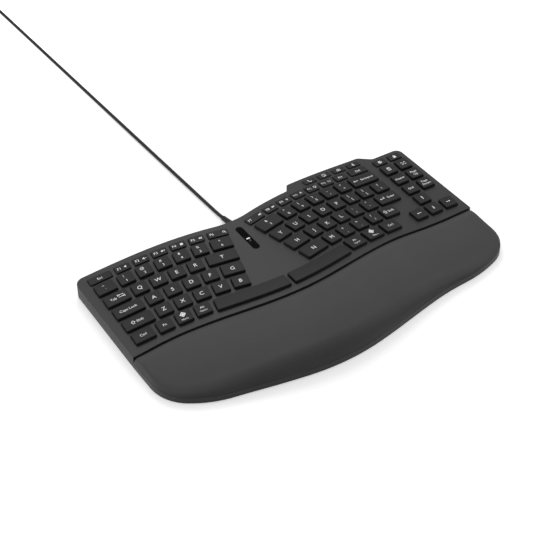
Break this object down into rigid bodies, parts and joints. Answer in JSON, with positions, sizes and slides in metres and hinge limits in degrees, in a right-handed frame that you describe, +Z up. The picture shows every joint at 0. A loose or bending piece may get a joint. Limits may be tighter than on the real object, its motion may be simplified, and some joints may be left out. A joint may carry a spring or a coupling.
{
  "type": "ergonomic keyboard",
  "caption": "Domed split keyboard with curved key rows, a navigation block, a cushioned palm rest, fold-out tilt feet and a wired lead.",
  "frame": {"origin": "on the table, below the middle of the keyboard's own pieces (without its lead)", "axes": "+X to the right along the keyboard's width, +Y to the back where the lead leaves, +Z up"},
  "size_m": [0.3958, 0.7924, 0.0338],
  "materials": {
    "case_plastic": "fine grained, dark grey",
    "tray_plastic": "satin, dark grey",
    "pad_foam": "soft grained skin over foam, dark grey",
    "key_plastic": "smooth satin, dark grey",
    "window_plastic": "dark gloss",
    "inner_plastic": "plain moulded",
    "core_plastic": "plain moulded",
    "dome_rubber": "soft, translucent grey",
    "membrane_film": "thin printed film",
    "steel": "plain sheet steel",
    "board": "solder mask green",
    "foot_rubber": "soft black",
    "cord_plastic": "satin black sheath",
    "plug_plastic": "satin black"
  },
  "bodies": {
    "case": {"top_case": "case_plastic", "bottom_case": "tray_plastic", "palm_rest_pad": "pad_foam", "palm_rest_core": "core_plastic", "key_frame": "inner_plastic", "dome_sheet": "dome_rubber", "contact_membrane": "membrane_film", "support_plate": "steel", "stabiliser_bars": "steel", "controller_board": "board", "indicator_window": "window_plastic", "case_screws": "steel", "rubber_feet": "foot_rubber", "strain_relief": "cord_plastic", "usb_cord": "cord_plastic", "usb_cord_coil": "cord_plastic", "usb_plug_grip": "plug_plastic", "usb_plug_shell": "steel"},
    "tilt_foot_left": {"tilt_foot_left": "tray_plastic"},
    "tilt_foot_right": {"tilt_foot_right": "tray_plastic"},
    "key_space_left": {"key_space_left": "key_plastic"},
    "function_keys_left": {"function_keys_left": "key_plastic"},
    "number_keys_left": {"number_keys_left": "key_plastic"},
    "modifier_keys_left": {"modifier_keys_left": "key_plastic"},
    "key_q": {"key_q": "key_plastic"},
    "key_w": {"key_w": "key_plastic"},
    "key_e": {"key_e": "key_plastic"},
    "key_r": {"key_r": "key_plastic"},
    "key_t": {"key_t": "key_plastic"},
    "key_a": {"key_a": "key_plastic"},
    "key_s": {"key_s": "key_plastic"},
    "key_d": {"key_d": "key_plastic"},
    "key_f": {"key_f": "key_plastic"},
    "key_g": {"key_g": "key_plastic"},
    "key_shift_left": {"key_shift_left": "key_plastic"},
    "key_z": {"key_z": "key_plastic"},
    "key_x": {"key_x": "key_plastic"},
    "key_c": {"key_c": "key_plastic"},
    "key_v": {"key_v": "key_plastic"},
    "key_b": {"key_b": "key_plastic"},
    "function_keys_right": {"function_keys_right": "key_plastic"},
    "key_backspace": {"key_backspace": "key_plastic"},
    "number_keys_right": {"number_keys_right": "key_plastic"},
    "punctuation_keys": {"punctuation_keys": "key_plastic"},
    "key_p": {"key_p": "key_plastic"},
    "key_o": {"key_o": "key_plastic"},
    "key_i": {"key_i": "key_plastic"},
    "key_u": {"key_u": "key_plastic"},
    "key_y": {"key_y": "key_plastic"},
    "key_enter": {"key_enter": "key_plastic"},
    "key_l": {"key_l": "key_plastic"},
    "key_k": {"key_k": "key_plastic"},
    "key_j": {"key_j": "key_plastic"},
    "key_h": {"key_h": "key_plastic"},
    "key_shift_right": {"key_shift_right": "key_plastic"},
    "key_m": {"key_m": "key_plastic"},
    "key_n": {"key_n": "key_plastic"},
    "modifier_keys_right": {"modifier_keys_right": "key_plastic"},
    "key_space_right": {"key_space_right": "key_plastic"},
    "navigation_keys": {"navigation_keys": "key_plastic"}
  },
  "joints": [
    {"name": "tilt_foot_left_fold", "type": "hinge", "parent": "case", "child": "tilt_foot_left", "pos_m": [-0.1441, -0.06062, 0.0035], "axis": [1, 0, 0], "range_deg": [0, 95]},
    {"name": "tilt_foot_right_fold", "type": "hinge", "parent": "case", "child": "tilt_foot_right", "pos_m": [0.0959, -0.06062, 0.0035], "axis": [1, 0, 0], "range_deg": [0, 95]},
    {"name": "key_space_left_press", "type": "slide", "parent": "case", "child": "key_space_left", "axis": [0, 0, -1], "range_m": [0, 0.0025], "stiffness_N_per_m": 160, "springref_m": -0.001, "deforming": ["dome_sheet"]},
    {"name": "function_keys_left_press", "type": "slide", "parent": "case", "child": "function_keys_left", "axis": [0.0985, 0, -0.9951], "range_m": [0, 0.0025], "stiffness_N_per_m": 1120, "springref_m": -0.001, "deforming": ["dome_sheet"]},
    {"name": "number_keys_left_press", "type": "slide", "parent": "case", "child": "number_keys_left", "axis": [0.1017, 0, -0.9948], "range_m": [0, 0.0025], "stiffness_N_per_m": 1120, "springref_m": -0.001, "deforming": ["dome_sheet"]},
    {"name": "modifier_keys_left_press", "type": "slide", "parent": "case", "child": "modifier_keys_left", "axis": [0.1196, 0, -0.9928], "range_m": [0, 0.0025], "stiffness_N_per_m": 960, "springref_m": -0.001, "deforming": ["dome_sheet"]},
    {"name": "key_q_press", "type": "slide", "parent": "case", "child": "key_q", "axis": [0.1288, 0, -0.9917], "range_m": [0, 0.0025], "stiffness_N_per_m": 160, "springref_m": -0.001, "deforming": ["dome_sheet"]},
    {"name": "key_w_press", "type": "slide", "parent": "case", "child": "key_w", "axis": [0.1271, 0, -0.9919], "range_m": [0, 0.0025], "stiffness_N_per_m": 160, "springref_m": -0.001, "deforming": ["dome_sheet"]},
    {"name": "key_e_press", "type": "slide", "parent": "case", "child": "key_e", "axis": [0.1158, 0, -0.9933], "range_m": [0, 0.0025], "stiffness_N_per_m": 160, "springref_m": -0.001, "deforming": ["dome_sheet"]},
    {"name": "key_r_press", "type": "slide", "parent": "case", "child": "key_r", "axis": [0.0968, 0, -0.9953], "range_m": [0, 0.0025], "stiffness_N_per_m": 160, "springref_m": -0.001, "deforming": ["dome_sheet"]},
    {"name": "key_t_press", "type": "slide", "parent": "case", "child": "key_t", "axis": [0.0603, 0, -0.9982], "range_m": [0, 0.0025], "stiffness_N_per_m": 160, "springref_m": -0.001, "deforming": ["dome_sheet"]},
    {"name": "key_a_press", "type": "slide", "parent": "case", "child": "key_a", "axis": [0.1293, 0, -0.9916], "range_m": [0, 0.0025], "stiffness_N_per_m": 160, "springref_m": -0.001, "deforming": ["dome_sheet"]},
    {"name": "key_s_press", "type": "slide", "parent": "case", "child": "key_s", "axis": [0.1253, 0, -0.9921], "range_m": [0, 0.0025], "stiffness_N_per_m": 160, "springref_m": -0.001, "deforming": ["dome_sheet"]},
    {"name": "key_d_press", "type": "slide", "parent": "case", "child": "key_d", "axis": [0.1122, 0, -0.9937], "range_m": [0, 0.0025], "stiffness_N_per_m": 160, "springref_m": -0.001, "deforming": ["dome_sheet"]},
    {"name": "key_f_press", "type": "slide", "parent": "case", "child": "key_f", "axis": [0.0917, 0, -0.9958], "range_m": [0, 0.0025], "stiffness_N_per_m": 160, "springref_m": -0.001, "deforming": ["dome_sheet"]},
    {"name": "key_g_press", "type": "slide", "parent": "case", "child": "key_g", "axis": [0.0611, 0, -0.9981], "range_m": [0, 0.0025], "stiffness_N_per_m": 160, "springref_m": -0.001, "deforming": ["dome_sheet"]},
    {"name": "key_shift_left_press", "type": "slide", "parent": "case", "child": "key_shift_left", "axis": [0.116, 0, -0.9932], "range_m": [0, 0.0025], "stiffness_N_per_m": 160, "springref_m": -0.001, "deforming": ["dome_sheet"]},
    {"name": "key_z_press", "type": "slide", "parent": "case", "child": "key_z", "axis": [0.1293, 0, -0.9916], "range_m": [0, 0.0025], "stiffness_N_per_m": 160, "springref_m": -0.001, "deforming": ["dome_sheet"]},
    {"name": "key_x_press", "type": "slide", "parent": "case", "child": "key_x", "axis": [0.1254, 0, -0.9921], "range_m": [0, 0.0025], "stiffness_N_per_m": 160, "springref_m": -0.001, "deforming": ["dome_sheet"]},
    {"name": "key_c_press", "type": "slide", "parent": "case", "child": "key_c", "axis": [0.1124, 0, -0.9937], "range_m": [0, 0.0025], "stiffness_N_per_m": 160, "springref_m": -0.001, "deforming": ["dome_sheet"]},
    {"name": "key_v_press", "type": "slide", "parent": "case", "child": "key_v", "axis": [0.092, 0, -0.9958], "range_m": [0, 0.0025], "stiffness_N_per_m": 160, "springref_m": -0.001, "deforming": ["dome_sheet"]},
    {"name": "key_b_press", "type": "slide", "parent": "case", "child": "key_b", "axis": [0.0651, 0, -0.9979], "range_m": [0, 0.0025], "stiffness_N_per_m": 160, "springref_m": -0.001, "deforming": ["dome_sheet"]},
    {"name": "function_keys_right_press", "type": "slide", "parent": "case", "child": "function_keys_right", "axis": [-0.103, 0, -0.9947], "range_m": [0, 0.0025], "stiffness_N_per_m": 1920, "springref_m": -0.001, "deforming": ["dome_sheet"]},
    {"name": "key_backspace_press", "type": "slide", "parent": "case", "child": "key_backspace", "axis": [-0.0959, 0, -0.9954], "range_m": [0, 0.0025], "stiffness_N_per_m": 160, "springref_m": -0.001, "deforming": ["dome_sheet"]},
    {"name": "number_keys_right_press", "type": "slide", "parent": "case", "child": "number_keys_right", "axis": [-0.1037, 0, -0.9946], "range_m": [0, 0.0025], "stiffness_N_per_m": 960, "springref_m": -0.001, "deforming": ["dome_sheet"]},
    {"name": "punctuation_keys_press", "type": "slide", "parent": "case", "child": "punctuation_keys", "axis": [-0.1185, 0, -0.9929], "range_m": [0, 0.0025], "stiffness_N_per_m": 1280, "springref_m": -0.001, "deforming": ["dome_sheet"]},
    {"name": "key_p_press", "type": "slide", "parent": "case", "child": "key_p", "axis": [-0.1289, 0, -0.9917], "range_m": [0, 0.0025], "stiffness_N_per_m": 160, "springref_m": -0.001, "deforming": ["dome_sheet"]},
    {"name": "key_o_press", "type": "slide", "parent": "case", "child": "key_o", "axis": [-0.1208, 0, -0.9927], "range_m": [0, 0.0025], "stiffness_N_per_m": 160, "springref_m": -0.001, "deforming": ["dome_sheet"]},
    {"name": "key_i_press", "type": "slide", "parent": "case", "child": "key_i", "axis": [-0.1044, 0, -0.9945], "range_m": [0, 0.0025], "stiffness_N_per_m": 160, "springref_m": -0.001, "deforming": ["dome_sheet"]},
    {"name": "key_u_press", "type": "slide", "parent": "case", "child": "key_u", "axis": [-0.0814, 0, -0.9967], "range_m": [0, 0.0025], "stiffness_N_per_m": 160, "springref_m": -0.001, "deforming": ["dome_sheet"]},
    {"name": "key_y_press", "type": "slide", "parent": "case", "child": "key_y", "axis": [-0.0509, 0, -0.9987], "range_m": [0, 0.0025], "stiffness_N_per_m": 160, "springref_m": -0.001, "deforming": ["dome_sheet"]},
    {"name": "key_enter_press", "type": "slide", "parent": "case", "child": "key_enter", "axis": [-0.0907, 0, -0.9959], "range_m": [0, 0.0025], "stiffness_N_per_m": 160, "springref_m": -0.001, "deforming": ["dome_sheet"]},
    {"name": "key_l_press", "type": "slide", "parent": "case", "child": "key_l", "axis": [-0.1262, 0, -0.992], "range_m": [0, 0.0025], "stiffness_N_per_m": 160, "springref_m": -0.001, "deforming": ["dome_sheet"]},
    {"name": "key_k_press", "type": "slide", "parent": "case", "child": "key_k", "axis": [-0.114, 0, -0.9935], "range_m": [0, 0.0025], "stiffness_N_per_m": 160, "springref_m": -0.001, "deforming": ["dome_sheet"]},
    {"name": "key_j_press", "type": "slide", "parent": "case", "child": "key_j", "axis": [-0.0942, 0, -0.9956], "range_m": [0, 0.0025], "stiffness_N_per_m": 160, "springref_m": -0.001, "deforming": ["dome_sheet"]},
    {"name": "key_h_press", "type": "slide", "parent": "case", "child": "key_h", "axis": [-0.0626, 0, -0.998], "range_m": [0, 0.0025], "stiffness_N_per_m": 160, "springref_m": -0.001, "deforming": ["dome_sheet"]},
    {"name": "key_shift_right_press", "type": "slide", "parent": "case", "child": "key_shift_right", "axis": [-0.1092, 0, -0.994], "range_m": [0, 0.0025], "stiffness_N_per_m": 160, "springref_m": -0.001, "deforming": ["dome_sheet"]},
    {"name": "key_m_press", "type": "slide", "parent": "case", "child": "key_m", "axis": [-0.1055, 0, -0.9944], "range_m": [0, 0.0025], "stiffness_N_per_m": 160, "springref_m": -0.001, "deforming": ["dome_sheet"]},
    {"name": "key_n_press", "type": "slide", "parent": "case", "child": "key_n", "axis": [-0.0737, 0, -0.9973], "range_m": [0, 0.0025], "stiffness_N_per_m": 160, "springref_m": -0.001, "deforming": ["dome_sheet"]},
    {"name": "modifier_keys_right_press", "type": "slide", "parent": "case", "child": "modifier_keys_right", "axis": [-0.1238, 0, -0.9923], "range_m": [0, 0.0025], "stiffness_N_per_m": 480, "springref_m": -0.001, "deforming": ["dome_sheet"]},
    {"name": "key_space_right_press", "type": "slide", "parent": "case", "child": "key_space_right", "axis": [0, 0, -1], "range_m": [0, 0.0025], "stiffness_N_per_m": 160, "springref_m": -0.001, "deforming": ["dome_sheet"]},
    {"name": "navigation_keys_press", "type": "slide", "parent": "case", "child": "navigation_keys", "axis": [-0.0128, 0, -0.9999], "range_m": [0, 0.0025], "stiffness_N_per_m": 1920, "springref_m": -0.001, "deforming": ["dome_sheet"]}
  ]
}
